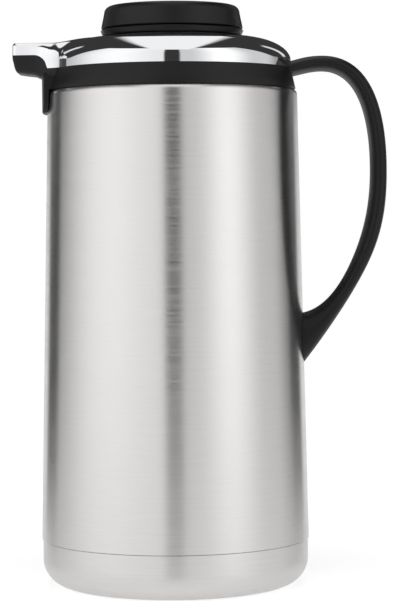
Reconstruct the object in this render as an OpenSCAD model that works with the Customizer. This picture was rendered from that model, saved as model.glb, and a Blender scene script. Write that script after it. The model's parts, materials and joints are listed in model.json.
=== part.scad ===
// Glass lined serving carafe: a brushed steel casing, a bright domed shoulder with a roofed spout,
// a black collar and band handle, and a large round stopper whose knob turns to pour.
// Origin on the casing's axis at the surface it stands on, +Z up, spout towards -X, handle towards +X.

/* [Casing] */
// Outer radius of the steel casing just below the collar
casing_top_r = 61.3; // [56:0.1:74]
// How much wider the casing is at its lower edge
casing_flare = 4.6; // [3.5:0.1:12]
// Height of the casing from the base seam to the collar
casing_h = 220; // [180:1:270]
// Thickness of the casing's sheet
casing_wall = 0.8; // [0.5:0.1:1.2]
// Outside radius where the casing turns in under the collar
casing_round_r = 2.4; // [1.5:0.1:4]
// Width of the flat lip that carries the collar
casing_lip_w = 3.5; // [2.5:0.1:5]

/* [Base] */
// Height of the base cap, up to the seam
base_h = 23; // [20:1:30]
// How much smaller than the casing the base cap is
base_step = 0.5; // [0.2:0.1:1]
// Radius of the rounded lower edge of the base cap
base_corner_r = 13; // [8:0.5:16]
// Thickness of the base cap's sheet
base_wall = 0.9; // [0.6:0.1:1.4]
// Width of the flat ring that the carafe stands on
foot_w = 8; // [5:0.5:12]
// Rise of the base cap's middle above the foot ring
foot_recess_h = 1.5; // [1:0.1:3]
// Open joint between the base cap and the casing
seam_gap = 0.3; // [0.2:0.1:0.6]
// Wall of the moulded base insert
insert_wall = 2.4; // [1.8:0.1:3.5]
// Height of the screwed joint between the base insert and the ring in the casing
base_thread_h = 12; // [8:1:16]
// Outer radius of the soft seat under the glass
seat_r = 20; // [16:0.5:26]
// Thickness of the soft seat at its middle
seat_h = 11; // [8:0.5:16]

/* [Glass liner] */
// Space between the casing and the glass
liner_gap = 4; // [3:0.5:8]
// Thickness of each glass wall
glass_wall = 1.6; // [1.2:0.1:2.2]
// Evacuated space between the two glass walls
vacuum_gap = 3.9; // [3:0.1:6]
// Space between the walls at the glass mouth
mouth_gap = 1.8; // [1.4:0.1:2.4]
// Height of the straight glass neck
glass_neck_h = 7; // [5:0.5:10]
// Height of the rounded glass shoulder
glass_shoulder_h = 32; // [24:1:45]
// Depth of the rounded glass bottom
glass_bottom_h = 28; // [20:1:40]
// Length of the sealed tip under the glass
glass_tip_h = 7; // [4:0.5:9]
// Radius of the pads that hold the glass walls apart
pad_r = 5; // [3:0.5:7]

/* [Collar] */
// Height of the black collar band
collar_h = 10.4; // [8:0.2:16]
// How much smaller than the casing the collar's lower edge is
collar_step = 0.8; // [0.4:0.1:2]
// How much the collar narrows from its lower edge to its upper edge
collar_taper = 2.2; // [0:0.1:3]
// Wall of the collar
collar_wall = 2.5; // [2:0.1:3.5]
// Depth of the collar's plug inside the casing
collar_plug_h = 5; // [3:0.5:8]
// Height of the collar's floor above the casing
collar_floor_z = 5; // [4:0.5:6]
// Width of the tongue under the spout
tongue_w = 30; // [20:1:40]
// Thickness of the tongue
tongue_t = 2.2; // [1.6:0.1:3]
// How far the tongue hangs below the collar
tongue_drop = 11.3; // [6:0.1:20]
// Space between the tongue and the casing
tongue_gap = 0.5; // [0.3:0.1:2]

/* [Shoulder dome] */
// Height of the bright shoulder dome
dome_h = 15.1; // [12:0.1:22]
// Height of the straight band at the dome's lower edge
dome_band_h = 3.6; // [2:0.1:6]
// Thickness of the dome
dome_wall = 1.6; // [1.2:0.1:2.2]
// Width of the dome's rim that shows round the stopper
dome_rim_show = 0.9; // [0.5:0.1:3]

/* [Spout] */
// Length of the spout from the collar's upper edge to its tip
spout_len = 19.3; // [16:0.1:28]
// Length over which the spout's flare runs out
flare_len = 9; // [7:0.5:11]
// Height of the spout's roof below the top of the dome
spout_roof_drop = 2.5; // [1.5:0.1:4]
// Height of the spout at its tip
spout_tip_h = 14.3; // [12:0.1:16]
// Height of the bright roof's sides
roof_side_h = 6; // [4:0.1:8]
// Width of the spout at its tip
spout_tip_w = 25; // [20:0.5:34]
// Width of the spout where it flares into the dome
spout_root_w = 38; // [32:1:44]
// Wall of the spout
spout_wall = 1.9; // [1.4:0.1:2.5]
// Height of the pour channel
channel_h = 11.8; // [9:0.1:12]

/* [Neck] */
// How far the stopper's flange reaches past the bore of the neck
neck_inset = 5.2; // [4.2:0.1:8]
// Wall of the neck
neck_wall = 2.5; // [2:0.1:3.2]
// Depth of the ledge's underside below the casing's top
ledge_drop = 9; // [7:0.5:14]
// Thickness of the ledge over the glass mouth
neck_ledge_h = 3; // [2:0.5:5]
// Width of the ledge that the stopper's gasket lies on
neck_ledge_w = 4.9; // [3:0.1:6]
// Width of the neck's flange under the collar's floor
neck_flange_w = 5; // [3:0.5:6]
// Thickness of that flange
neck_flange_h = 2.4; // [1.8:0.1:3]
// Thickness of the soft gasket on the glass mouth
gasket_h = 2.3; // [1.5:0.1:4]

/* [Handle] */
// Distance from the collar's upper edge to the outermost point of the grip
grip_reach = 46.8; // [40:0.1:60]
// Thickness of the handle at the grip, seen from the side
grip_t = 7.9; // [6:0.1:12]
// Thickness of the arm at the top of the handle
arm_t = 7.4; // [6:0.1:10]
// Width of the handle at the grip
grip_w = 25; // [18:0.5:32]
// Width of the handle where it meets the collar
arm_w = 30; // [24:0.5:36]
// Height of the arm's crown above the casing
arm_rise = 16.5; // [14:0.1:20]
// Distance of the arm's crown from the collar
arm_run = 15.2; // [12:0.1:20]
// Depth of the outermost point of the grip below the casing's top
grip_drop = 39.5; // [34:0.5:50]
// How far the handle's bend lies inside the outermost point of the grip
bend_inset = 8.7; // [5:0.1:14]
// Height of the handle's bend above the upper edge of its foot
bend_rise = 26; // [20:0.5:34]
// Depth of the upper edge of the handle's foot below the casing's top
foot_drop = 110; // [95:0.5:132]
// Height of the handle's foot on the casing
foot_h = 27; // [20:0.5:34]
// Width of the tenon that joins the handle to the collar's floor
tenon_w = 21; // [17:0.5:24]
// Thickness of the tenon
tenon_h = 4.6; // [3.5:0.1:5.5]
// Radius of the handle's screws
screw_r = 2; // [1.5:0.1:2.4]
// Distance of the handle's upper screws from its middle
top_screw_y = 6.5; // [5.5:0.1:7.5]
// Height of the steel plate behind the handle's foot
foot_plate_h = 18; // [12:0.5:24]
// Width of that plate
foot_plate_w = 22; // [14:0.5:28]
// Thickness of that plate
foot_plate_t = 1.2; // [0.8:0.1:2]

/* [Stopper] */
// Largest radius of the stopper's flange
flange_r = 35.1; // [33:0.1:40]
// Height of the flange, the narrow band under the knob
flange_h = 3.1; // [2.4:0.1:5]
// Height of the flange above the dome's top
flange_lift = 1; // [0.6:0.1:2]
// How much smaller than the flange the knob is
knob_step = 0.3; // [0.1:0.1:1.5]
// Height of the knob
knob_h = 12.4; // [10:0.1:20]
// How much the knob narrows towards its top
knob_taper = 1.5; // [0.5:0.1:3]
// Rounding at the knob's upper edge
knob_round_r = 3.6; // [2:0.1:5]
// Height of the crown on the knob
knob_crown_h = 1.2; // [0.5:0.1:2.5]
// Wall of the knob
knob_wall = 2.2; // [1.6:0.1:3]
// Open joint between the knob and the flange
knob_gap = 0.5; // [0.4:0.1:1]
// Wall of the stopper's sleeve
sleeve_wall = 2.2; // [1.8:0.1:2.8]
// Thickness of the soft ring under the sleeve
sleeve_gasket_h = 2.4; // [1.6:0.1:3]
// Radius of the stem that joins the knob to the plug
stem_r = 12; // [9:0.5:14.5]
// Wall of the stem and the plug
plug_wall = 2.2; // [1.8:0.1:3]
// Side clearance between the plug and the sleeve, which the drink passes
plug_gap = 2.5; // [1.5:0.1:4]
// Height of the plug above its seal
plug_h = 10; // [8:0.5:12]
// Thickness of the plug's seal
seal_h = 2.3; // [1.6:0.1:3]
// Width of the seat that the plug's seal closes on
seat_w = 5; // [4:0.1:6.5]
// Thickness of that seat
seat_t = 3; // [2:0.1:4]
// Rise of the plug when the knob is turned to pour
pour_rise = 5; // [3:0.5:6]
// Height of the pour windows in the sleeve
window_h = 12; // [8:0.5:14]
// Angle that each pour window spans
window_angle = 56; // [30:1:70]

/* [Fits] */
// Side clearance between pieces that move on each other
run_gap = 0.3; // [0.2:0.05:0.5]
// Side clearance between fixed pieces
fit_gap = 0.1; // [0.05:0.05:0.2]

/* [Hidden] */
$fn = 96;

// Heights that several pieces share
casing_top_z = base_h + casing_h;
collar_top_z = casing_top_z + collar_h;
dome_top_z = collar_top_z + dome_h;
flange_z = dome_top_z + flange_lift;
flange_top_z = flange_z + flange_h;
knob_z = flange_top_z + knob_gap;
knob_top_z = knob_z + knob_h;

// Radii that several pieces share
casing_base_r = casing_top_r + casing_flare;
base_r = casing_base_r - base_step;
lip_r = casing_top_r - casing_round_r - casing_lip_w;
collar_base_r = casing_top_r - collar_step;
collar_top_r = collar_base_r - collar_taper;
collar_plug_r = lip_r - fit_gap;
collar_plug_in_r = collar_plug_r - collar_wall;
collar_edge_r = 0.8;
dome_rim_r = flange_r + dome_rim_show;
neck_r = flange_r - neck_inset;
neck_outer_r = neck_r + neck_wall;
mouth_r = neck_r - neck_ledge_w;
glass_r = casing_top_r - casing_wall - liner_gap;
glass_inner_r = glass_r - glass_wall - vacuum_gap;
spout_reach = collar_top_r + spout_len;
handle_reach = collar_top_r + grip_reach;

// Outer radius of the casing at a height
function casing_r_at(z) =
    casing_base_r + (casing_top_r - casing_base_r) * (z - base_h) / (casing_h - casing_round_r);

// Base: the soft seat stands on the insert's floor and the glass stands on the seat
insert_floor_z = foot_recess_h + base_wall + fit_gap;
seat_z = insert_floor_z + insert_wall;
glass_bottom_z = seat_z + seat_h;
insert_step_w = 3;
thread_r = base_r - base_wall - insert_wall - insert_step_w;
base_ring_h = base_thread_h + 2;

// Collar floor, neck and glass mouth
floor_z = casing_top_z + collar_floor_z;
floor_top_z = floor_z + collar_wall;
neck_top_z = flange_z - run_gap;
ledge_z = casing_top_z - ledge_drop;
ledge_top_z = ledge_z + neck_ledge_h;
rim_z = ledge_z - gasket_h - fit_gap;
lip_h = 2;
glass_neck_r = mouth_r + 2 * glass_wall + mouth_gap;
glass_shoulder_z = rim_z - glass_neck_h - glass_shoulder_h;
glass_tip_r = 4;
gasket_skirt_t = 1.2;
gasket_skirt_h = 4.5;

// Spout and pour channel
roof_z = dome_top_z - spout_roof_drop;
part_z = roof_z - roof_side_h;
channel_z = roof_z - spout_wall - channel_h;
channel_tip_w = spout_tip_w - 2 * spout_wall;
spout_low_round_r = 5;

// Handle: the top and the underside of its arm, its bend and its foot
crown_x = collar_top_r + arm_run;
arm_top_z = casing_top_z + arm_rise;
arm_low_z = arm_top_z - arm_t;
arm_root_x = collar_top_r - 2;
arm_root_drop = 3;
grip_z = casing_top_z - grip_drop;
foot_z = casing_top_z - foot_drop;
foot_low_z = foot_z - foot_h;
foot_trim = 3;
foot_r = casing_r_at(foot_z) - foot_trim;
bend_x = handle_reach - bend_inset;
bend_z = foot_z + bend_rise;
bend_t = grip_t - 0.3;
handle_steps = 12;

// The outer and the inner edge of the handle, seen from the side.
// Each anchor is [distance from the axis, height, direction, reach in, reach out, width].
outer_rail = [
    [arm_root_x, arm_top_z - arm_root_drop, 15, 0, 7, arm_w],
    [crown_x, arm_top_z, 0, 7, 19, grip_w + 1],
    [handle_reach, grip_z, -90, 39, 17, grip_w],
    [bend_x, bend_z, -115, 16, 18, grip_w - 1],
    [foot_r + 1, foot_low_z, -129, 18, 0, grip_w - 1]
];
inner_rail = [
    [arm_root_x, arm_low_z - arm_root_drop, 11, 0, 7],
    [crown_x, arm_low_z, 0, 6, 17],
    [handle_reach - grip_t, grip_z, -90, 28, 15],
    [bend_x - bend_t, bend_z + 2, -113, 15, 16],
    [foot_r, foot_z, -178, 13, 0]
];

// Screws: heads, and how far they reach into what they hold
screw_head_r = screw_r * 1.8;
screw_head_h = 1.8;
screw_hold = 3;
hole_spare = 1;

// Handle's tenon, its two upright screws inside the collar's plug, and the screw in its foot
top_screw_r = collar_plug_in_r - screw_head_r - 0.3;
top_screw_x = sqrt(pow(top_screw_r, 2) - pow(top_screw_y, 2));
tenon_in_r = top_screw_x - screw_head_r - 0.6;
tenon_out = 4;
foot_screw_z = foot_z - foot_h / 3;
foot_screw_in = 9;
foot_plate_r = casing_r_at(foot_screw_z + foot_plate_h / 2) - casing_wall - fit_gap / 2;

// Stopper
sleeve_r = neck_r - run_gap;
sleeve_bore_r = sleeve_r - sleeve_wall;
sleeve_z = ledge_top_z + 2 * run_gap + sleeve_gasket_h;
sleeve_gasket_lip = 2.4;
sleeve_gasket_in_r = sleeve_bore_r - sleeve_gasket_lip;
seat_bore_r = sleeve_bore_r - seat_w;
seat_top_z = sleeve_z + seat_t;
seal_z = seat_top_z + run_gap;
seal_side_gap = 1.2;
seal_r = sleeve_bore_r - seal_side_gap;
plug_z = seal_z + seal_h + run_gap;
plug_top_z = plug_z + plug_h;
plug_r = sleeve_bore_r - plug_gap;
seal_grip_w = 5.5;
seal_hub_r = seat_bore_r - seal_grip_w;
window_z = channel_z - 0.6;
guide_r = stem_r + run_gap;
guide_wall = 3;
plug_head_room = 1.2;
guide_z = plug_top_z + pour_rise + plug_head_room;
stem_seal_w = 1.7;
stem_seal_h = 1.7;
stem_recess_h = stem_seal_h + run_gap;
knob_r = flange_r - knob_step;
knob_boss_h = 3;
knob_boss_r = 6;
knob_base_t = 1.8;
knob_inner_z = knob_top_z - knob_crown_h - knob_wall;
knob_hollow_r = knob_r - knob_taper - knob_wall;
stem_top_z = knob_inner_z - knob_boss_h;

// Colours, as the photographed object shows them
STEEL = [0.77, 0.76, 0.75];
BRIGHT = [0.86, 0.86, 0.88];
BLACK = [0.16, 0.155, 0.16];
DARK = [0.1, 0.1, 0.1];
CLEAR = [0.8, 0.86, 0.88, 0.4];
SILVERED = [0.83, 0.84, 0.86, 0.6];
SOFT = [0.85, 0.84, 0.8];
ZINC = [0.62, 0.63, 0.65];
FOAM = [0.93, 0.91, 0.84];

// Points on a round corner, from one angle to another
function arc(cx, cz, r, from, to, steps = 8) =
    [for (i = [0:steps]) let (a = from + (to - from) * i / steps) [cx + r * cos(a), cz + r * sin(a)]];

// Points on an upright ellipse
function oval(cx, cz, rx, rz, from, to, steps = 14) =
    [for (i = [0:steps]) let (a = from + (to - from) * i / steps) [cx + rx * cos(a), cz + rz * sin(a)]];

// A flat ring or tube about the axis
module ring(r_in, r_out, z, h) {
    translate([0, 0, z])
        rotate_extrude()
            translate([r_in, 0])
                square([r_out - r_in, h]);
}

// A closed skin over rings of points, which all have as many points
module loft(rings) {
    n = len(rings[0]);
    last = len(rings) - 1;
    points = [for (r = rings) each r];
    sides = [for (i = [0:last - 1], j = [0:n - 1]) let (k = (j + 1) % n)
        each [[i * n + j, (i + 1) * n + k, (i + 1) * n + j], [i * n + j, i * n + k, (i + 1) * n + k]]];
    caps = [[for (j = [n - 1:-1:0]) j], [for (j = [0:n - 1]) last * n + j]];
    polyhedron(points, concat(sides, caps));
}

// Rows with more rows between them, on a smooth curve. Each row starts with its place along the way.
function finer(rows, parts) =
    let (
        last = len(rows) - 1,
        slopes = [for (i = [0:last])
            let (a = rows[max(i - 1, 0)], b = rows[min(i + 1, last)]) (b - a) / (b[0] - a[0])]
    )
    concat([for (i = [0:last - 1], k = [0:parts - 1])
        let (t = k / parts, step = rows[i + 1][0] - rows[i][0])
        rows[i] * (1 + 2 * t) * pow(1 - t, 2) + slopes[i] * step * t * pow(1 - t, 2)
            + rows[i + 1] * t * t * (3 - 2 * t) + slopes[i + 1] * step * t * t * (t - 1)],
        [rows[last]]);

// A rounded rectangle across the spout, at one distance from the axis
function spout_ring(x, w, z0, z1, r0, r1, steps = 6) =
    let (corners = concat(
        arc(w / 2 - r0, z0 + r0, r0, -90, 0, steps),
        arc(w / 2 - r1, z1 - r1, r1, 0, 90, steps),
        arc(r1 - w / 2, z1 - r1, r1, 90, 180, steps),
        arc(r0 - w / 2, z0 + r0, r0, 180, 270, steps)))
    [for (p = corners) [x, p[0], p[1]]];

// The outside of the spout, lofted along it: under the dome it is wide and well rounded,
// over the flare's length it narrows outside the collar, and at the tip its lower edge curls up.
// Each station is [distance from the axis, width, lowest point, highest point, upper rounding].
module spout_outside() {
    root = collar_top_r;
    low = roof_z - spout_tip_h;
    flare = spout_root_w - spout_tip_w;
    stations = [
        [root - 13, spout_root_w - 12, floor_z, roof_z + 0.9, 7],
        [root - 8, spout_root_w - 5, floor_z, roof_z + 0.4, 8],
        [root - 3, spout_root_w, floor_z, roof_z + 0.1, 8],
        [root, spout_tip_w + flare * 0.84, floor_z + 0.3, roof_z, 7],
        [root + flare_len * 0.3, spout_tip_w + flare * 0.6, floor_z + 0.5, roof_z, 5.4],
        [root + flare_len * 0.6, spout_tip_w + flare * 0.36, floor_z + 0.9, roof_z, 3.8],
        [root + flare_len, spout_tip_w + flare * 0.2, low - 1.2, roof_z, 2.6],
        [spout_reach - 2.4, spout_tip_w + 0.4, low - 0.2, roof_z, 2.2],
        [spout_reach - 1, spout_tip_w, low + 1.6, roof_z, 2.2],
        [spout_reach, spout_tip_w - 0.3, low + 5, roof_z - 0.3, 2.2]
    ];
    loft([for (s = finer(stations, 2)) spout_ring(-s[0], s[1], s[2], s[3], spout_low_round_r, s[4])]);
}

// The pour channel from the neck to the tip, with its floor rising towards the tip:
// the open space, which can be raised at its top, or grown by a wall down to the collar's floor
module channel(grow, raise = 0) {
    base_z = floor_z + 0.4;
    top_z = channel_z + channel_h + raise;
    inside_neck = 9;
    past_tip = 3;
    stations = [
        [neck_r - inside_neck, neck_r + 0.6, channel_z],
        [collar_top_r, channel_tip_w + 3, channel_z + 0.2],
        [spout_reach - 8, channel_tip_w + 0.6, channel_z + 1.2],
        [spout_reach + past_tip, channel_tip_w, channel_z + 2]
    ];
    loft([for (s = stations)
        spout_ring(-s[0], s[1] + 2 * grow, grow > 0 ? base_z : s[2], top_z + grow, 3, 2)]);
}

// The parting line of the spout, seen from the side, with the bright roof above it
module roof_side(above) {
    span = 30;
    turn_r = part_z - collar_top_z;
    turn_x = collar_top_r + 2.4 + turn_r;
    line = concat(
        [[-spout_reach - span, part_z]],
        arc(-turn_x, collar_top_z, turn_r, 90, 0, 8),
        [[0, collar_top_z]]);
    level = above ? dome_top_z + span : casing_top_z - span;
    rotate([90, 0, 0])
        linear_extrude(4 * span, center = true)
            polygon(concat([[0, level], [-spout_reach - span, level]], line));
}

// The whole space under the dome's outside, or under its inside where it is drawn in by a wall
module dome_body(inset, low_z) {
    band_z = collar_top_z + dome_band_h;
    rotate_extrude()
        polygon(concat(
            [[0, low_z], [collar_top_r - inset, low_z]],
            oval(dome_rim_r, band_z, collar_top_r - dome_rim_r - inset, dome_h - dome_band_h - inset, 0, 90),
            [[0, dome_top_z - inset]]));
}

// Sheet steel casing, open below, turned in at the top to carry the collar
module outer_casing() {
    cx = casing_top_r - casing_round_r;
    cz = casing_top_z - casing_round_r;
    color(STEEL)
        difference() {
            rotate_extrude()
                polygon(concat(
                    [[casing_base_r, base_h]],
                    arc(cx, cz, casing_round_r, 0, 90),
                    [[lip_r, casing_top_z], [lip_r, casing_top_z - casing_wall]],
                    arc(cx, cz, casing_round_r - casing_wall, 90, 0),
                    [[casing_base_r - casing_wall, base_h]]));
            foot_screw_hole();
        }
}

// Round hole through the casing and the plate behind it for the screw in the handle's foot
module foot_screw_hole() {
    translate([glass_r, 0, foot_screw_z])
        rotate([0, 90, 0])
            cylinder(r = screw_r + fit_gap, h = casing_base_r - glass_r + 6);
}

// Drawn steel cap with a rounded edge, standing on a flat ring round a raised middle
module base_cap() {
    top_z = base_h - seam_gap;
    cx = base_r - base_corner_r;
    inner_corner_r = base_corner_r - base_wall;
    foot_in_r = cx - foot_w;
    color(STEEL)
        rotate_extrude()
            polygon(concat(
                [[0, foot_recess_h], [foot_in_r - foot_recess_h, foot_recess_h], [foot_in_r, 0]],
                arc(cx, base_corner_r, base_corner_r, -90, 0, 10),
                [[base_r, top_z], [base_r - base_wall, top_z]],
                arc(cx, base_corner_r, inner_corner_r, 0, -90, 10),
                [[foot_in_r + base_wall, base_wall],
                 [foot_in_r + base_wall - foot_recess_h, foot_recess_h + base_wall],
                 [0, foot_recess_h + base_wall]]));
}

// Black ring fixed inside the casing's lower edge, which the base insert screws into
module base_ring() {
    outer_r = casing_r_at(base_h + base_ring_h) - casing_wall - fit_gap;
    color(BLACK)
        ring(thread_r, outer_r, base_h, base_ring_h);
}

// Moulded insert inside the base cap: it carries the glass seat and screws into the base ring
module base_insert() {
    outer_r = base_r - base_wall - fit_gap;
    corner_r = base_corner_r - base_wall - fit_gap;
    cx = base_r - base_corner_r;
    shelf_z = base_h - 2;
    wall_r = thread_r - fit_gap;
    wall_in_r = wall_r - insert_wall;
    wall_top_z = base_h + base_thread_h;
    slope_w = 8;
    hub_r = seat_r + fit_gap;
    hub_z = seat_z + seat_h - 1;
    color(BLACK)
        rotate_extrude()
            polygon(concat(
                [[0, insert_floor_z], [cx, insert_floor_z]],
                arc(cx, base_corner_r, corner_r, -65, 0, 6),
                [[outer_r, shelf_z], [wall_r, shelf_z], [wall_r, wall_top_z]],
                [[wall_in_r, wall_top_z], [wall_in_r, seat_z + slope_w], [wall_in_r - slope_w, seat_z]],
                [[hub_r + insert_wall, seat_z], [hub_r + insert_wall, hub_z]],
                [[hub_r, hub_z], [hub_r, seat_z], [0, seat_z]]));
}

// Height of the outside of a rounded glass bottom at a distance from the axis
function bowl_z(r, wide, deep, z) = z + deep * (1 - sqrt(1 - pow(r / wide, 2)));

// Soft ring that the glass bottom rests in, hollow round the sealed tip
module glass_seat() {
    hole_r = glass_tip_r + 4;
    top = [for (i = [0:5]) let (r = hole_r + (seat_r - hole_r) * i / 5)
        [r, bowl_z(r, glass_r, glass_bottom_h, glass_bottom_z) - fit_gap]];
    color(SOFT)
        rotate_extrude()
            polygon(concat([[seat_r, seat_z], [hole_r, seat_z]], top));
}

// Half outline of a bottle: rounded bottom, straight side, shoulder that turns out and in, straight neck.
// The shoulder's lower bend takes the larger share of its width and height.
function bottle(body_r, top_r, bottom_z, bottom_h, shoulder_z, shoulder_h, top_z, share = 0.62) =
    let (w = body_r - top_r, turn = 62)
    concat(
        oval(0, bottom_z + bottom_h, body_r, bottom_h, -90, 0, 12),
        oval(body_r - w * share, shoulder_z, w * share, shoulder_h * share, 0, turn, 8),
        oval(top_r + w * (1 - share), shoulder_z + shoulder_h,
            w * (1 - share), shoulder_h * (1 - share), 180 + turn, 180, 5),
        [[top_r, top_z]]);

// Reversed copy of a list of points
function reversed(points) = [for (i = [len(points) - 1:-1:0]) points[i]];

// Outer glass wall with the sealed tip under it
module glass_outer() {
    tip_top_h = glass_tip_h + 0.8;
    outside = bottle(glass_r, glass_neck_r, glass_bottom_z, glass_bottom_h,
        glass_shoulder_z, glass_shoulder_h, rim_z - lip_h);
    inside = bottle(glass_r - glass_wall, glass_neck_r - glass_wall, glass_bottom_z + glass_wall,
        glass_bottom_h - glass_wall, glass_shoulder_z, glass_shoulder_h - glass_wall, rim_z - lip_h);
    color(SILVERED) {
        rotate_extrude()
            polygon(concat(outside, reversed(inside)));
        translate([0, 0, glass_bottom_z - glass_tip_h])
            rotate_extrude()
                polygon([[0, 0], [1.2, 0], [2, 1], [glass_tip_r, tip_top_h], [0, tip_top_h]]);
    }
}

// Inner glass wall with the rounded mouth that joins it to the outer wall
module glass_inner() {
    gap = glass_wall + vacuum_gap;
    shoulder_z = glass_shoulder_z - gap / 2;
    outside = bottle(glass_inner_r, mouth_r + glass_wall, glass_bottom_z + gap, glass_bottom_h - gap,
        shoulder_z, glass_shoulder_h, rim_z - lip_h);
    inside = bottle(glass_inner_r - glass_wall, mouth_r, glass_bottom_z + gap + glass_wall,
        glass_bottom_h - gap - glass_wall, shoulder_z, glass_shoulder_h - glass_wall, rim_z - lip_h);
    lip = [[glass_neck_r, rim_z - lip_h], [glass_neck_r, rim_z - 1], [glass_neck_r - 1, rim_z],
        [mouth_r + 1, rim_z], [mouth_r, rim_z - 1]];
    color(CLEAR)
        rotate_extrude()
            polygon(concat(outside, lip, reversed(inside)));
}

// Three small pads that hold the two glass walls apart
module glass_pads() {
    pad_z = glass_bottom_z + glass_bottom_h + 14;
    color(SOFT)
        for (i = [0:2])
            rotate([0, 0, 60 + i * 120])
                intersection() {
                    ring(glass_inner_r + fit_gap, glass_r - glass_wall - fit_gap, pad_z - pad_r, 2 * pad_r);
                    translate([0, 0, pad_z])
                        rotate([0, 90, 0])
                            cylinder(r = pad_r, h = glass_r, $fn = 48);
                }
}

// Soft gasket over the glass mouth with a skirt round the glass neck
module neck_gasket() {
    skirt_r = glass_neck_r + fit_gap;
    color(SOFT) {
        ring(mouth_r, skirt_r + gasket_skirt_t, rim_z, gasket_h);
        ring(skirt_r, skirt_r + gasket_skirt_t, rim_z - gasket_skirt_h, gasket_skirt_h + 0.5);
    }
}

// Neck that the stopper sits in, with a ledge on the glass and a window towards the spout
module neck_tube() {
    skirt_r = glass_neck_r + 2 * fit_gap + gasket_skirt_t;
    skirt_wall = 1.6;
    skirt_z = rim_z - gasket_skirt_h;
    flange_low_z = floor_z - fit_gap - neck_flange_h;
    color(BLACK)
        difference() {
            union() {
                ring(neck_r, neck_outer_r, ledge_z, neck_top_z - ledge_z);
                ring(mouth_r, neck_outer_r, ledge_z, neck_ledge_h);
                ring(skirt_r, max(neck_outer_r, skirt_r + skirt_wall), skirt_z, ledge_top_z - skirt_z);
                ring(neck_outer_r - 0.5, neck_outer_r + neck_flange_w, flange_low_z, neck_flange_h);
            }
            channel(0);
        }
}

// Black collar: band, plug into the casing, floor, spout trough and the tongue under the spout
module collar() {
    color(BLACK)
        difference() {
            union() {
                collar_band();
                collar_spout();
                collar_tongue();
            }
            channel(0, dome_h);
            neck_opening();
            handle_tenon(run_gap);
            handle_screw_holes(screw_r + fit_gap);
        }
}

// Round opening that the neck stands in
module neck_opening() {
    ring(0, neck_outer_r + fit_gap, floor_z - 1, dome_h + collar_h);
}

// Turned part of the collar: the outer band with its plug, the floor and the step for the dome
module collar_band() {
    step_r = collar_top_r - dome_wall - fit_gap;
    step_in_r = step_r - collar_wall;
    step_z = collar_top_z + 1.5;
    low_z = casing_top_z - collar_plug_h;
    edge_r = collar_edge_r;
    rotate_extrude()
        polygon(concat(
            [[collar_plug_in_r, low_z], [collar_plug_r, low_z], [collar_plug_r, casing_top_z]],
            arc(collar_base_r - edge_r, casing_top_z + edge_r, edge_r, -90, 0, 4),
            [[collar_top_r, collar_top_z], [step_r, collar_top_z], [step_r, step_z], [step_in_r, step_z]],
            [[step_in_r, floor_top_z], [neck_outer_r, floor_top_z], [neck_outer_r, floor_z]],
            [[collar_plug_in_r, floor_z]]));
}

// Spout trough: black below the parting line outside, and open upwards under the dome
module collar_spout() {
    difference() {
        intersection() {
            spout_outside();
            roof_side(false);
        }
        translate([0, 0, casing_top_z])
            cylinder(r = collar_top_r - collar_wall, h = collar_h + dome_h);
    }
    intersection() {
        channel(spout_wall);
        dome_body(dome_wall + fit_gap, floor_z);
    }
}

// Tongue under the spout, curved with the casing and rounded at its lower corners
module collar_tongue() {
    low_z = casing_top_z - tongue_drop;
    root_z = casing_top_z + 0.4;
    top_z = floor_top_z + 0.6;
    inner_r = casing_top_r + tongue_gap;
    outer_r = inner_r + tongue_t;
    half_w = tongue_w / 2;
    tip_r = 1;
    corner_r = 7;
    intersection() {
        rotate_extrude()
            polygon(concat(
                [[collar_base_r - 1.5, root_z], [inner_r, root_z], [inner_r, low_z + tip_r]],
                arc(outer_r - tip_r, low_z + tip_r, tip_r, -90, 0, 4),
                [[outer_r, top_z], [collar_top_r - 1, top_z]]));
        translate([-outer_r - 5, 0, 0])
            rotate([90, 0, 90])
                linear_extrude(outer_r / 2)
                    polygon(concat(
                        arc(half_w - corner_r, low_z + corner_r, corner_r, -90, 0, 6),
                        [[half_w + 1, top_z + 1], [-half_w - 1, top_z + 1]],
                        arc(corner_r - half_w, low_z + corner_r, corner_r, 180, 270, 6)));
    }
}

// Bright shoulder dome with the roof of the spout
module shoulder_dome() {
    color(BRIGHT)
        difference() {
            union() {
                difference() {
                    dome_body(0, collar_top_z);
                    dome_body(dome_wall, collar_top_z - 1);
                }
                difference() {
                    intersection() {
                        spout_outside();
                        roof_side(true);
                    }
                    dome_body(dome_wall / 2, collar_top_z - 1);
                }
            }
            neck_opening();
            channel(0);
            handle_tenon(run_gap);
        }
}

// Point on a rail between two anchors
function rail_point(a, b, t) =
    let (
        from = [a[0], a[1]],
        to = [b[0], b[1]],
        leave = from + a[4] * [cos(a[2]), sin(a[2])],
        arrive = to - b[3] * [cos(b[2]), sin(b[2])]
    )
    pow(1 - t, 3) * from + 3 * t * pow(1 - t, 2) * leave + 3 * t * t * (1 - t) * arrive + pow(t, 3) * to;

// Rounded section of the handle between its two edges
function handle_ring(inner, outer, w, sides = 28, square = 0.78) =
    let (mid = (inner + outer) / 2, half = (outer - inner) / 2)
    [for (i = [0:sides - 1])
        let (
            a = 360 * i / sides,
            c = sign(cos(a)) * pow(abs(cos(a)), square),
            s = sign(sin(a)) * pow(abs(sin(a)), square)
        )
        [mid[0] + half[0] * c, w / 2 * s, mid[1] + half[1] * c]];

// Rings of the handle from the collar to the foot
function handle_rings(last = len(outer_rail) - 2) =
    [for (seg = [0:last], i = [0:handle_steps - (seg < last ? 1 : 0)])
        let (
            t = i / handle_steps,
            ease = t * t * (3 - 2 * t),
            w = outer_rail[seg][5] * (1 - ease) + outer_rail[seg + 1][5] * ease
        )
        handle_ring(rail_point(inner_rail[seg], inner_rail[seg + 1], t),
            rail_point(outer_rail[seg], outer_rail[seg + 1], t), w)];

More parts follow.
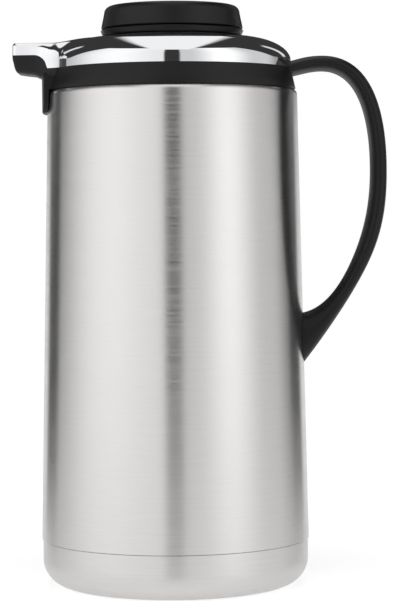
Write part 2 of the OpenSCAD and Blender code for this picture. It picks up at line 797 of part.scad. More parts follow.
// Outside of casing, collar and dome, which the handle seats on
module seating_body() {
    seat_gap = fit_gap / 2;
    low_z = casing_top_z - 1;
    high_z = dome_top_z + 10;
    rotate_extrude()
        polygon([
            [0, base_h], [casing_base_r + seat_gap, base_h],
            [casing_top_r + seat_gap, casing_top_z - casing_round_r], [casing_top_r + seat_gap, low_z],
            [collar_base_r + seat_gap, low_z], [collar_base_r + seat_gap, casing_top_z + collar_edge_r],
            [collar_top_r + seat_gap, collar_top_z], [collar_top_r + seat_gap, high_z], [0, high_z]
        ]);
}

// Tongue at the top of the handle that passes the dome's band and lies on the collar's floor
module handle_tenon(grow) {
    translate([tenon_in_r - grow, -tenon_w / 2 - grow, floor_top_z])
        cube([collar_top_r - tenon_in_r + tenon_out + 2 * grow, tenon_w + 2 * grow, tenon_h + grow]);
}

// Two upright screw holes through the collar's floor into the tenon
module handle_screw_holes(r) {
    for (side = [-1, 1])
        translate([top_screw_x, side * top_screw_y, floor_z - hole_spare])
            cylinder(r = r, h = collar_wall + screw_hold + 2 * hole_spare, $fn = 32);
}

// A screw that points up from its head's upper face, through a thickness and into what it holds
module screw(thickness) {
    translate([0, 0, -screw_head_h])
        cylinder(r = screw_head_r, h = screw_head_h, $fn = 32);
    translate([0, 0, -0.2])
        cylinder(r = screw_r, h = thickness + screw_hold, $fn = 32);
}

// Moulded band handle, lofted between its two rails and seated on collar and casing
module handle() {
    color(BLACK)
        difference() {
            union() {
                difference() {
                    loft(handle_rings());
                    seating_body();
                }
                handle_tenon(0);
            }
            handle_screw_holes(screw_r);
            translate([casing_top_r, 0, foot_screw_z])
                rotate([0, 90, 0])
                    cylinder(r = screw_r, h = foot_screw_in + hole_spare, $fn = 32);
        }
}

// Two screws up through the collar's floor into the handle
module handle_top_screws() {
    color(ZINC)
        for (side = [-1, 1])
            translate([top_screw_x, side * top_screw_y, floor_z])
                screw(collar_wall);
}

// Curved steel plate inside the casing that spreads the load of the handle's lower screw
module handle_foot_plate() {
    low_z = foot_screw_z - foot_plate_h / 2;
    color(ZINC)
        difference() {
            intersection() {
                ring(foot_plate_r - foot_plate_t, foot_plate_r, low_z, foot_plate_h);
                translate([0, -foot_plate_w / 2, low_z])
                    cube([casing_base_r, foot_plate_w, foot_plate_h]);
            }
            foot_screw_hole();
        }
}

// Screw from inside the casing into the handle's foot
module handle_foot_screw() {
    head_r = foot_plate_r - foot_plate_t - fit_gap;
    color(ZINC)
        translate([head_r, 0, foot_screw_z])
            rotate([0, 90, 0])
                screw(casing_top_r + foot_screw_in - screw_hold - head_r);
}

// Soft ring that seals the stopper's sleeve on the neck's ledge
module sleeve_gasket() {
    color(SOFT)
        ring(sleeve_gasket_in_r, sleeve_r - fit_gap, ledge_top_z + run_gap, sleeve_gasket_h);
}

// Stopper sleeve: flange, guide for the stem, windowed wall and the seat for the plug's seal
module stopper_sleeve() {
    edge_r = 1;
    lean_w = 0.8;
    chamfer = 0.5;
    recess_r = guide_r + stem_seal_w + fit_gap;
    recess_z = flange_top_z - stem_recess_h;
    color(BLACK)
        difference() {
            union() {
                rotate_extrude()
                    polygon(concat(
                        [[guide_r, flange_z]],
                        arc(flange_r - lean_w - edge_r, flange_z + edge_r, edge_r, -90, -20, 4),
                        [[flange_r, flange_top_z - chamfer], [flange_r - chamfer, flange_top_z]],
                        [[recess_r, flange_top_z], [recess_r, recess_z], [guide_r, recess_z]]));
                ring(sleeve_bore_r, sleeve_r, sleeve_z, flange_z - sleeve_z + 0.5);
                ring(guide_r, guide_r + guide_wall, guide_z, flange_z - guide_z + 0.5);
                ring(seat_bore_r, sleeve_r, sleeve_z, seat_t);
                ring(seat_bore_r, sleeve_gasket_in_r - run_gap, sleeve_z - sleeve_gasket_h, sleeve_gasket_h + 0.5);
            }
            sleeve_windows();
        }
}

// Four windows through the sleeve, one of them facing the spout
module sleeve_windows() {
    half = window_angle / 2;
    far = sleeve_r * 1.4;
    for (i = [0:3])
        rotate([0, 0, i * 90])
            translate([0, 0, window_z])
                linear_extrude(window_h)
                    polygon([
                        [0, 0], [far * cos(half), far * sin(half)],
                        [far * 1.2, 0], [far * cos(half), -far * sin(half)]
                    ]);
}

// Soft lip ring round the stem, in the flange's recess
module stem_seal() {
    color(SOFT)
        ring(guide_r, guide_r + stem_seal_w, flange_top_z - stem_recess_h, stem_seal_h);
}

// Soft ring under the plug that closes the sleeve's seat
module plug_seal() {
    color(SOFT)
        ring(seal_hub_r + run_gap, seal_r, seal_z, seal_h);
}

// Hollow plug with the stem that passes the flange and carries the knob
module stopper_plug() {
    hollow_r = plug_r - plug_wall;
    hub_hole_r = seal_hub_r + fit_gap;
    stem_bore_r = stem_r - plug_wall;
    stem_in_z = stem_top_z - plug_wall;
    screw_hole_r = screw_r + fit_gap;
    shelf_z = plug_z + plug_wall;
    roof_in_z = plug_top_z - plug_wall;
    chamfer = 2;
    color(DARK)
        rotate_extrude()
            polygon([
                [hub_hole_r, plug_z], [plug_r, plug_z],
                [plug_r, plug_top_z - chamfer], [plug_r - chamfer, plug_top_z],
                [stem_r, plug_top_z], [stem_r, stem_top_z],
                [screw_hole_r, stem_top_z], [screw_hole_r, stem_in_z], [stem_bore_r, stem_in_z],
                [stem_bore_r, roof_in_z], [hollow_r, roof_in_z],
                [hollow_r, shelf_z], [hub_hole_r, shelf_z]
            ]);
}

// Insulating foam inside the plug
module plug_foam() {
    low_z = plug_z + plug_wall + fit_gap;
    color(FOAM)
        ring(0, plug_r - plug_wall - fit_gap, low_z, plug_top_z - plug_wall - fit_gap - low_z);
}

// End cap that closes the plug and holds its seal
module plug_end_cap() {
    cap_r = seat_bore_r - run_gap;
    cap_z = sleeve_z - sleeve_gasket_h + 1;
    chamfer = 1;
    color(DARK)
        rotate_extrude()
            polygon([
                [0, cap_z], [cap_r - chamfer, cap_z], [cap_r, cap_z + chamfer],
                [cap_r, seal_z - run_gap], [seal_hub_r, seal_z - run_gap],
                [seal_hub_r, plug_z + plug_wall], [0, plug_z + plug_wall]
            ]);
}

// Large round knob: tapered side, rounded upper edge and a low crown, hollow below with a screw boss
module stopper_knob() {
    crown_r = knob_r - knob_taper - knob_round_r;
    crown_z = knob_top_z - knob_crown_h;
    crown = [for (i = [1:6]) let (r = crown_r * (1 - i / 6))
        [r, knob_top_z - knob_crown_h * pow(r / crown_r, 2)]];
    chamfer = 0.4;
    color(BLACK)
        difference() {
            rotate_extrude()
                polygon(concat(
                    [[0, knob_z], [knob_r - chamfer, knob_z], [knob_r, knob_z + chamfer]],
                    arc(crown_r, crown_z - knob_round_r, knob_round_r, 0, 90),
                    crown));
            difference() {
                translate([0, 0, knob_z - 1])
                    cylinder(r = knob_hollow_r, h = knob_inner_z - knob_z + 1);
                translate([0, 0, stem_top_z + fit_gap])
                    cylinder(r = knob_boss_r, h = knob_h);
            }
            translate([0, 0, stem_top_z - hole_spare])
                cylinder(r = screw_r, h = screw_hold + 1.5 * hole_spare, $fn = 32);
        }
}

// Ring that closes the knob's underside round the stem
module knob_base() {
    color(BLACK)
        ring(stem_r + fit_gap, knob_hollow_r - fit_gap, knob_z, knob_base_t);
}

// Screw up through the stem into the knob
module knob_screw() {
    color(ZINC)
        translate([0, 0, stem_top_z - plug_wall])
            screw(plug_wall);
}

outer_casing();
base_cap();
base_ring();
base_insert();
glass_seat();
glass_outer();
glass_inner();
glass_pads();
neck_gasket();
neck_tube();
collar();
shoulder_dome();
handle();
handle_top_screws();
handle_foot_plate();
handle_foot_screw();
sleeve_gasket();
stopper_sleeve();
stem_seal();
plug_seal();
stopper_plug();
plug_foam();
plug_end_cap();
stopper_knob();
knob_base();
knob_screw();
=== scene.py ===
import json
import math
from math import radians

import bmesh
import bpy
import numpy as np
from mathutils import Euler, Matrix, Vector


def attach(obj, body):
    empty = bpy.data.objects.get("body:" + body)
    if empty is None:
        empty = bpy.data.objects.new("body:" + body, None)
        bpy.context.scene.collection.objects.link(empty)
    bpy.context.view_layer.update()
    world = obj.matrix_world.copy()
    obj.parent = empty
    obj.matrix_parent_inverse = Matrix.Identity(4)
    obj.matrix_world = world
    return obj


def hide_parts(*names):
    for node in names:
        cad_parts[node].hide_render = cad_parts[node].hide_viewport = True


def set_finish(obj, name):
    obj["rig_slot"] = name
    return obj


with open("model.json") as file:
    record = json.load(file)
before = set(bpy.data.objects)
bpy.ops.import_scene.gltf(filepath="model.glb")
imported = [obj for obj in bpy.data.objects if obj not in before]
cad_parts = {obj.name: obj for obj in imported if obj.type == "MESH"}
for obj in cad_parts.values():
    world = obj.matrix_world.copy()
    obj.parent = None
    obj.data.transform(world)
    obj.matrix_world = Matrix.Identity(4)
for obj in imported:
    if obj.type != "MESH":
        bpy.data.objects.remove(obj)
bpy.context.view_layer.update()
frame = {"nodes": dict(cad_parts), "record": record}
scene = bpy.context.scene

# The photograph's height, in pixels
FRAME_H = 601

# Camera: a long lens above the middle of the object, tipped down and rolled a little
EYE = Vector((0.0131, -1.10, 0.179))
FOCAL_PX = 2229
SENSOR_MM = 36
TILT = radians(2.05)
ROLL = radians(0.4)


def add_camera():
    data = bpy.data.cameras.new("camera")
    data.sensor_width = SENSOR_MM
    data.lens = FOCAL_PX * SENSOR_MM / FRAME_H
    data.clip_start, data.clip_end = 0.01, 50
    camera = bpy.data.objects.new("camera", data)
    scene.collection.objects.link(camera)
    turn = Euler((math.pi / 2 - TILT, 0, 0)).to_matrix() @ Euler((0, 0, -ROLL)).to_matrix()
    camera.matrix_world = turn.to_4x4()
    camera.location = EYE
    scene.camera = camera


class Graph:
    """Short names for building a node tree."""

    def __init__(self, tree):
        self.tree = tree
        tree.nodes.clear()

    def node(self, kind, **settings):
        made = self.tree.nodes.new(kind)
        for key, value in settings.items():
            setattr(made, key, value)
        return made

    def put(self, socket, value):
        """Links an output to a socket, or sets the socket to a plain value."""
        if isinstance(value, bpy.types.NodeSocket):
            self.tree.links.new(value, socket)
        elif value is not None:
            socket.default_value = value

    def math(self, operation, a, b=None, c=None):
        made = self.node("ShaderNodeMath", operation=operation)
        for socket, value in zip(made.inputs, (a, b, c)):
            self.put(socket, value)
        return made.outputs[0]

    def smooth(self, value, low, high, to_low=0.0, to_high=1.0):
        """A smooth step from one value to another."""
        made = self.node("ShaderNodeMapRange", interpolation_type="SMOOTHSTEP")
        for socket, v in zip(made.inputs, (value, low, high, to_low, to_high)):
            self.put(socket, v)
        return made.outputs[0]

    def band(self, value, low, high, soft):
        """1 between two limits, 0 outside them, with soft edges."""
        rise = self.smooth(value, low - soft / 2, low + soft / 2)
        fall = self.smooth(value, high - soft / 2, high + soft / 2, 1.0, 0.0)
        return self.math("MULTIPLY", rise, fall)

    def xyz(self, vector):
        made = self.node("ShaderNodeSeparateXYZ")
        self.put(made.inputs[0], vector)
        return made.outputs

    def vector(self, x, y, z):
        made = self.node("ShaderNodeCombineXYZ")
        for socket, value in zip(made.inputs, (x, y, z)):
            self.put(socket, value)
        return made.outputs[0]

    def object_point(self):
        return self.node("ShaderNodeTexCoord").outputs["Object"]

    def noise(self, vector, scale, detail, roughness):
        made = self.node("ShaderNodeTexNoise")
        self.put(made.inputs["Vector"], vector)
        self.put(made.inputs["Scale"], scale)
        self.put(made.inputs["Detail"], detail)
        self.put(made.inputs["Roughness"], roughness)
        return made.outputs["Fac"]

    def mix(self, factor, a, b):
        """A colour between two others."""
        made = self.node("ShaderNodeMix", data_type="RGBA")
        for index, value in ((0, factor), (6, a), (7, b)):
            self.put(made.inputs[index], value)
        return made.outputs[2]

    def bump(self, height, distance, strength):
        made = self.node("ShaderNodeBump")
        self.put(made.inputs["Height"], height)
        made.inputs["Distance"].default_value = distance
        made.inputs["Strength"].default_value = strength
        return made.outputs[0]


MM = 0.001

# Sizes from part.scad, in millimetres
CASING_BASE_Z, CASING_TOP_Z = 23, 243
CASING_BASE_R, CASING_TOP_R, CASING_ROUND = 65.9, 61.3, 2.4
COLLAR_BASE_R, COLLAR_TOP_R, COLLAR_EDGE = 60.5, 58.3, 0.8
COLLAR_TOP_Z = 253.4
DOME_TOP_Z, BAND_Z, RIM_R, HOLE_R = 268.5, 257.0, 36.0, 32.5
DOME_WALL = 1.6
SPOUT_REACH, SPOUT_ROOT = 77.6, 40.0
PART_Z, PART_START = 260.0, 2.4


def mesh_object(name, points, faces):
    """A new object from points in millimetres."""
    mesh = bpy.data.meshes.new(name)
    mesh.from_pydata([tuple(p) for p in np.asarray(points, float) * MM], [], faces)
    mesh.validate()
    made = bpy.data.objects.new(name, mesh)
    scene.collection.objects.link(made)
    return made


def strips(rows, columns, wrap_rows=False, wrap_columns=False):
    """Quads over a grid of points that is rows times columns."""
    quads = []
    for i in range(rows if wrap_rows else rows - 1):
        for j in range(columns if wrap_columns else columns - 1):
            k, n = (i + 1) % rows, (j + 1) % columns
            quads.append((i * columns + j, k * columns + j, k * columns + n, i * columns + n))
    return quads


def face_outward(made):
    """Turns every face of a closed mesh outward."""
    work = bmesh.new()
    work.from_mesh(made.data)
    bmesh.ops.recalc_face_normals(work, faces=work.faces)
    work.to_mesh(made.data)
    work.free()


def soften(made, angle):
    """Smooth shading, with an edge kept sharp where the faces meet at more than the angle."""
    made.data.polygons.foreach_set("use_smooth", [True] * len(made.data.polygons))
    made.data.set_sharp_from_angle(angle=radians(angle))


def carve(made, cutter):
    """Cuts one closed mesh from another and removes the cutter."""
    step = made.modifiers.new("cut", "BOOLEAN")
    step.operation, step.solver, step.object = "DIFFERENCE", "EXACT", cutter
    cut = made.evaluated_get(bpy.context.evaluated_depsgraph_get())
    shape = bpy.data.meshes.new_from_object(cut)
    made.modifiers.clear()
    old, made.data = made.data, shape
    bpy.data.meshes.remove(old)
    bpy.data.objects.remove(cutter)


def loft(name, rings):
    """A closed skin over rings that all have as many points."""
    rings = np.asarray(rings, float)
    rows, columns = rings.shape[:2]
    faces = strips(rows, columns, wrap_columns=True)
    faces += [tuple(range(columns - 1, -1, -1)),
              tuple(range((rows - 1) * columns, rows * columns))]
    made = mesh_object(name, rings.reshape(-1, 3), faces)
    face_outward(made)
    return made


def turned(name, outline, sides=192):
    """A solid of revolution from a closed outline of (radius, height)."""
    turn = np.linspace(0, 2 * math.pi, sides, endpoint=False)
    points = [(r * math.cos(a), r * math.sin(a), z) for a in turn for r, z in outline]
    made = mesh_object(name, points,
                       strips(sides, len(outline), wrap_rows=True, wrap_columns=True))
    work = bmesh.new()
    work.from_mesh(made.data)
    bmesh.ops.remove_doubles(work, verts=work.verts, dist=1e-7)
    bmesh.ops.dissolve_degenerate(work, edges=work.edges, dist=1e-7)
    bmesh.ops.recalc_face_normals(work, faces=work.faces)
    work.to_mesh(made.data)
    work.free()
    return made


# The spout's outside along its length, in millimetres:
# [distance from the axis, width, lowest point, highest point, rounding of the upper edges]
SPOUT = np.array([
    [45.3, 26, 248, 266.9, 7],
    [50.3, 33, 248, 266.4, 8],
    [55.3, 38, 248, 266.1, 8],
    [58.3, 35.9, 248.3, 266, 7],
    [61, 32.8, 248.5, 266, 5.4],
    [63.7, 29.7, 248.9, 266, 3.8],
    [67.3, 27.6, 250.5, 266, 2.6],
    [75.2, 25.4, 251.5, 266, 2.2],
    [77.6, 25, 253, 266, 2.2],
    [90, 25, 253, 266, 2.2]])
# The pour channel: [distance from the axis, width, floor], its ceiling and its corners
CHANNEL = np.array([
    [20.9, 30.5, 252.3],
    [58.3, 24.2, 252.5],
    [69.6, 21.8, 253.5],
    [80.6, 21.2, 254.3]])
CHANNEL_TOP_Z = 264.1
CHANNEL_LOW_R, CHANNEL_HIGH_R = 3, 2
CUT_START, CUT_END = 66, 80.6


def smooth_rows(rows, at):
    """Rows of numbers read at places along the way, on a smooth curve through them all."""
    x = rows[:, 0]
    slopes = np.gradient(rows, x, axis=0)
    i = np.clip(np.searchsorted(x, at, side="right") - 1, 0, len(x) - 2)
    step = x[i + 1] - x[i]
    t = np.clip((at - x[i]) / step, 0, 1)[..., None]
    step = step[..., None]
    return (rows[i] * (1 + 2 * t) * (1 - t) ** 2 + slopes[i] * step * t * (1 - t) ** 2
            + rows[i + 1] * t * t * (3 - 2 * t) + slopes[i + 1] * step * t * t * (t - 1))


def outside_dome(x, y, z):
    """About how far a point is outside the plain dome, in millimetres."""
    wide, high = COLLAR_TOP_R - RIM_R, DOME_TOP_Z - BAND_Z
    u = np.maximum(np.hypot(x, y) - RIM_R, 0) / wide
    v = np.maximum(z - BAND_Z, 0) / high
    k = np.maximum(np.hypot(u, v), 1e-6)
    return (k - 1) / np.maximum(np.hypot(u / wide, v / high) / k, 1 / wide)


def outside_spout(x, y, z, tip_round=1.4):
    """About how far a point is outside the spout, in millimetres."""
    row = smooth_rows(SPOUT, np.maximum(-x, SPOUT[0, 0]))
    width, low, high, corner = (row[..., i] for i in range(1, 5))
    across = np.abs(y) - width / 2 + corner
    up = np.abs(z - (low + high) / 2) - (high - low) / 2 + corner
    side = (np.hypot(np.maximum(across, 0), np.maximum(up, 0))
            + np.minimum(np.maximum(across, up), 0) - corner)
    end = -x - SPOUT_REACH
    rounded = np.hypot(np.maximum(side + tip_round, 0), np.maximum(end + tip_round, 0))
    return np.maximum(rounded + np.minimum(np.maximum(side, end), -tip_round), x + SPOUT_ROOT)


def outside_shoulder(x, y, z, fillet=5.0):
    """About how far a point is outside dome and spout, which meet in a fillet."""
    a, b = outside_dome(x, y, z), outside_spout(x, y, z)
    near = np.maximum(fillet - np.abs(a - b), 0) / fillet
    return np.minimum(a, b) - near * near * fillet / 4


def parting_z(x):
    """Height of the lower edge of the bright roof and dome."""
    turn_r = PART_Z - COLLAR_TOP_Z
    turn_x = COLLAR_TOP_R + PART_START + turn_r
    run = np.clip(-x, 0, turn_x)
    curve = COLLAR_TOP_Z + np.sqrt(np.maximum(turn_r ** 2 - (turn_x - run) ** 2, 0))
    return np.where(turn_x - run < turn_r, curve, COLLAR_TOP_Z)


# The shell's rays start on a ring inside the shoulder: (distance from the axis, height)
INSIDE = (40.0, 252.0)
LONGEST_RAY = 70.0
HALVINGS = 24
RAYS = 300
SHELL_ROWS = 84
SPOUT_HALF, ROOF_HALF = 26, 6  # degrees either side of the spout that need close columns


def reach(turn, lean, depth):
    """How far rays run from the ring until they are the depth under the shoulder's outside."""
    low, high = np.zeros_like(lean), np.full_like(lean, LONGEST_RAY)
    for _ in range(HALVINGS):
        mid = (low + high) / 2
        r, z = ray_point(mid, lean)
        out = outside_shoulder(-r * np.cos(turn), r * np.sin(turn), z) > -depth
        low, high = np.where(out, low, mid), np.where(out, mid, high)
    return low


def ray_point(far, lean):
    """Where rays of these lengths and slopes end: (distance from the axis, height)."""
    return INSIDE[0] + far * np.cos(lean), INSIDE[1] + far * np.sin(lean)


def shoulder_shell():
    """Dome and spout roof in one smooth shell, in columns that are sections through the axis."""
    turns = np.radians(np.concatenate([
        np.arange(-SPOUT_HALF, -ROOF_HALF, 0.3), np.arange(-ROOF_HALF, ROOF_HALF, 0.5),
        np.arange(ROOF_HALF, SPOUT_HALF, 0.3), np.arange(SPOUT_HALF, 360 - SPOUT_HALF, 1.5)]))
    first = math.atan2(DOME_TOP_Z - INSIDE[1], HOLE_R - INSIDE[0])
    fan = np.linspace(first, radians(-2), RAYS)
    turn, lean = np.meshgrid(turns, fan, indexing="ij")
    far = reach(turn, lean, 0)
    r, z = ray_point(far, lean)
    under = z - parting_z(-r * np.cos(turn))
    outer, inner = [], []
    for i, angle in enumerate(turns):
        # The column's last point is where it crosses the parting line
        last = int(np.argmax(under[i] < 0))
        share = under[i, last - 1] / (under[i, last - 1] - under[i, last])
        leans = np.append(fan[:last], fan[last - 1] + share * (fan[last] - fan[last - 1]))
        ends = np.append(far[i, :last],
                         far[i, last - 1] + share * (far[i, last] - far[i, last - 1]))
        p = np.stack(ray_point(ends, leans), 1)
        length = np.append(0, np.cumsum(np.hypot(*np.diff(p, axis=0).T)))
        pick = np.interp(np.linspace(0, length[-1], SHELL_ROWS), length, leans)
        flat = np.full_like(pick, angle)
        for depth, rows in ((0, outer), (DOME_WALL, inner)):
            pr, pz = ray_point(reach(flat, pick, depth), pick)
            rows.append(np.stack([-pr * math.cos(angle), pr * math.sin(angle), pz], 1))
    rings = np.concatenate([np.array(outer), np.array(inner)[:, ::-1]], 1)
    rows, columns = rings.shape[:2]
    made = mesh_object("shoulder_dome_skin", rings.reshape(-1, 3),
                       strips(rows, columns, wrap_rows=True, wrap_columns=True))
    face_outward(made)
    return made


def channel_cutter():
    """The pour channel's open end, to cut from the spout."""
    rings = []
    for x in np.linspace(CUT_START, CUT_END, 12):
        _, width, floor = smooth_rows(CHANNEL, np.array(x))
        low_y, high_y = width / 2 - CHANNEL_LOW_R, width / 2 - CHANNEL_HIGH_R
        low_z, high_z = floor + CHANNEL_LOW_R, CHANNEL_TOP_Z - CHANNEL_HIGH_R
        corners = ((low_y, low_z, CHANNEL_LOW_R, -90), (high_y, high_z, CHANNEL_HIGH_R, 0),
                   (-high_y, high_z, CHANNEL_HIGH_R, 90), (-low_y, low_z, CHANNEL_LOW_R, 180))
        rings.append([(-x, cy + r * math.cos(radians(a)), cz + r * math.sin(radians(a)))
                      for cy, cz, r, start in corners
                      for a in np.linspace(start, start + 90, 9)])
    return loft("channel_cutter", rings)


def shoulder():
    made = shoulder_shell()
    carve(made, channel_cutter())
    soften(made, 40)
    return place(made, "shoulder_dome")


# Edges of the handle seen from the side, in millimetres and degrees:
# (distance from the axis, height, direction, reach in, reach out, width)
OUTER_RAIL = (
    (56.3, 256.5, 15, 0, 7, 30),
    (73.5, 259.5, 0, 7, 19, 26),
    (105.1, 203.5, -90, 39, 17, 25),
    (96.4, 159, -115, 16, 18, 24),
    (61.58, 106, -129, 18, 0, 24))
INNER_RAIL = (
    (56.3, 249.1, 11, 0, 7, 0),
    (73.5, 252.1, 0, 6, 17, 0),
    (97.2, 203.5, -90, 28, 15, 0),
    (88.8, 161, -113, 15, 16, 0),
    (60.58, 133, -178, 13, 0, 0))
HANDLE_STEPS = 28
HANDLE_SIDES = 64
HANDLE_SQUARE = 0.78  # 1 is a round section, less is squarer
SEAT_GAP = 0.05


def rail_point(a, b, t):
    """A point of the smooth curve between two anchors of a rail."""
    start, end = np.array(a[:2]), np.array(b[:2])
    leave = start + a[4] * np.array([math.cos(radians(a[2])), math.sin(radians(a[2]))])
    arrive = end - b[3] * np.array([math.cos(radians(b[2])), math.sin(radians(b[2]))])
    return ((1 - t) ** 3 * start + 3 * t * (1 - t) ** 2 * leave
            + 3 * t * t * (1 - t) * arrive + t ** 3 * end)


def handle_ring(inner, outer, width):
    """A squarish section of the band between its two edges."""
    middle, half = (inner + outer) / 2, (outer - inner) / 2
    ring = []
    for a in np.linspace(0, 2 * math.pi, HANDLE_SIDES, endpoint=False):
        c, s = (math.copysign(abs(f) ** HANDLE_SQUARE, f) for f in (math.cos(a), math.sin(a)))
        ring.append((middle[0] + half[0] * c, width / 2 * s, middle[1] + half[1] * c))
    return ring


def handle():
    """The band handle, seated on collar and casing as the CAD one is."""
    rings, spans = [], len(OUTER_RAIL) - 1
    for span in range(spans):
        for i in range(HANDLE_STEPS + (span == spans - 1)):
            t = i / HANDLE_STEPS
            ease = t * t * (3 - 2 * t)
            width = OUTER_RAIL[span][5] * (1 - ease) + OUTER_RAIL[span + 1][5] * ease
            rings.append(handle_ring(rail_point(INNER_RAIL[span], INNER_RAIL[span + 1], t),
                                     rail_point(OUTER_RAIL[span], OUTER_RAIL[span + 1], t),
                                     width))
    made = loft("handle_skin", rings)
    low, high = CASING_TOP_Z - 1, DOME_TOP_Z + 10
    casing_base, casing_top = CASING_BASE_R + SEAT_GAP, CASING_TOP_R + SEAT_GAP
    collar_base, collar_top = COLLAR_BASE_R + SEAT_GAP, COLLAR_TOP_R + SEAT_GAP
    seat = [(0, CASING_BASE_Z), (casing_base, CASING_BASE_Z),
            (casing_top, CASING_TOP_Z - CASING_ROUND), (casing_top, low),
            (collar_base, low), (collar_base, CASING_TOP_Z + COLLAR_EDGE),
            (collar_top, COLLAR_TOP_Z), (collar_top, high), (0, high)]
    carve(made, turned("seat_cutter", seat))
    soften(made, 35)
    return place(made, "handle")


def smooth_copy(node, angle):
    """The CAD node's own points and faces, shaded as the smooth surface that it stands for."""
    made = bpy.data.objects.new(node + "_skin", frame["nodes"][node].data.copy())
    scene.collection.objects.link(made)
    work = bmesh.new()
    work.from_mesh(made.data)
    bmesh.ops.remove_doubles(work, verts=work.verts, dist=1e-5)
    work.to_mesh(made.data)
    work.free()
    if "custom_normal" in made.data.attributes:
        made.data.attributes.remove(made.data.attributes["custom_normal"])
    soften(made, angle)
    return place(made, node)


def place(made, node):
    """Lets a piece stand for a CAD node, on the same body and with the same material slot."""
    bodies = frame["record"]["behaviour"]["bodies"]
    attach(made, next(body for body, nodes in bodies.items() if node in nodes))
    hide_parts(node)
    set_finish(made, SLOT_OF[node])
    return made


SLOT_OF = {s["node"]: s["material_slot"] for s in frame["record"]["subparts"]}

# Studio lights. A place round the axis is in degrees from the camera's side, + towards the handle.
# Front panels: limits, glow (middle, half width, extra level, level), fade (from, to, its levels)
LEFT_PANEL = ((-123, -7), (-55, 48, 0.22, 0.92), (-124, -78, 0.62, 1.0))
RIGHT_PANEL = ((8, 124), (52, 36, 0.58, 0.68), (102, 124, 1.0, 0.5))
PANEL_EDGE = 3
# Their top edge, in degrees up, falls from one height to another on the way to the back
TOP_START, TOP_END, TOP_HIGH, TOP_LOW = 84, 118, 50, 6
# The overhead light on a ceiling at height 1: its near and far edge, and its half width at each
OVER_NEAR, OVER_FAR, OVER_NEAR_HALF, OVER_FAR_HALF = -1.25, 1.5, 0.42, 0.24
OVER_LOWEST = 0.15
# The low backdrop: it starts between two places round the axis and ends between two heights
BACK_ROUND, BACK_UP, BACK_LEVEL = (142, 152), (1.5, 6), 0.85
# The two strips behind: limits round the axis, limits up, and level
STRIP_ROUND, STRIP_UP, STRIP_LEVEL = (137, 146), (9, 38), 0.8
DARK = 0.04


def to_radians(limits):
    return [radians(limit) for limit in limits]


def add_world():
    """Two tall front panels with a slot between them, one overhead, and low lights behind."""
    world = bpy.data.worlds.new("studio")
    world.use_nodes = True
    scene.world = world
    g = Graph(world.node_tree)
    x, y, z = g.xyz(g.node("ShaderNodeTexCoord").outputs["Generated"])
    azimuth = g.math("ARCTAN2", x, g.math("MULTIPLY", y, -1.0))
    side = g.math("ABSOLUTE", azimuth)
    height = g.math("ARCSINE", z)

    def panel(limits, glow, fade):
        middle, half, extra, level = glow
        off = g.math("ABSOLUTE", g.math("SUBTRACT", azimuth, radians(middle)))
        lit = g.math("MULTIPLY_ADD", g.smooth(off, 0.0, radians(half), 1.0, 0.0), extra, level)
        fading = g.smooth(azimuth, radians(fade[0]), radians(fade[1]), fade[2], fade[3])
        lit = g.math("MULTIPLY", lit, fading)
        inside = g.band(azimuth, *to_radians(limits), radians(PANEL_EDGE))
        return g.math("MULTIPLY", lit, inside)

    top = g.smooth(side, radians(TOP_START), radians(TOP_END),
                   radians(TOP_HIGH), radians(TOP_LOW))
    below_top = g.smooth(g.math("SUBTRACT", height, top),
                         radians(-PANEL_EDGE / 2), radians(PANEL_EDGE / 2), 1.0, 0.0)
    panels = g.math("ADD", panel(*LEFT_PANEL), panel(*RIGHT_PANEL))
    panels = g.math("MULTIPLY", panels, below_top)

    across = g.math("ABSOLUTE", g.math("DIVIDE", x, z))
    along = g.math("DIVIDE", y, z)
    edge = g.smooth(along, OVER_NEAR, OVER_FAR, OVER_NEAR_HALF, OVER_FAR_HALF)
    over_x = g.smooth(g.math("SUBTRACT", across, edge), -0.05, 0.05, 1.0, 0.0)
    over_y = g.band(along, OVER_NEAR, OVER_FAR, 0.1)
    overhead = g.math("MULTIPLY", g.math("MULTIPLY", over_x, over_y),
                      g.math("GREATER_THAN", z, OVER_LOWEST))

    backdrop = g.math("MULTIPLY",
                      g.smooth(side, *to_radians(BACK_ROUND), 0.0, BACK_LEVEL),
                      g.smooth(height, *to_radians(BACK_UP), 1.0, 0.0))
    behind = g.math("MULTIPLY", STRIP_LEVEL,
                    g.band(side, *to_radians(STRIP_ROUND), radians(1.5)))
    behind = g.math("MULTIPLY", behind, g.band(height, *to_radians(STRIP_UP), radians(5)))

    light = g.math("MAXIMUM", g.math("MAXIMUM", panels, overhead),
                   g.math("MAXIMUM", g.math("MAXIMUM", backdrop, behind), DARK))
    ray = g.node("ShaderNodeLightPath")
    shader = g.node("ShaderNodeBackground")
    shader.inputs["Color"].default_value = (1, 1, 1, 1)
    g.put(shader.inputs["Strength"], g.math("MAXIMUM", light, ray.outputs["Is Camera Ray"]))
    g.put(g.node("ShaderNodeOutputWorld").inputs["Surface"], shader.outputs[0])


FLOOR_R, FLOOR_Z = 0.42, -0.0002
FLOOR_GREY = 0.8
FLOOR_GLOW = 0.6  # what the camera and clear materials see on top of the lit floor
FLOOR_GLOSSY_GLOW = 0.35  # what reflections see on top of it


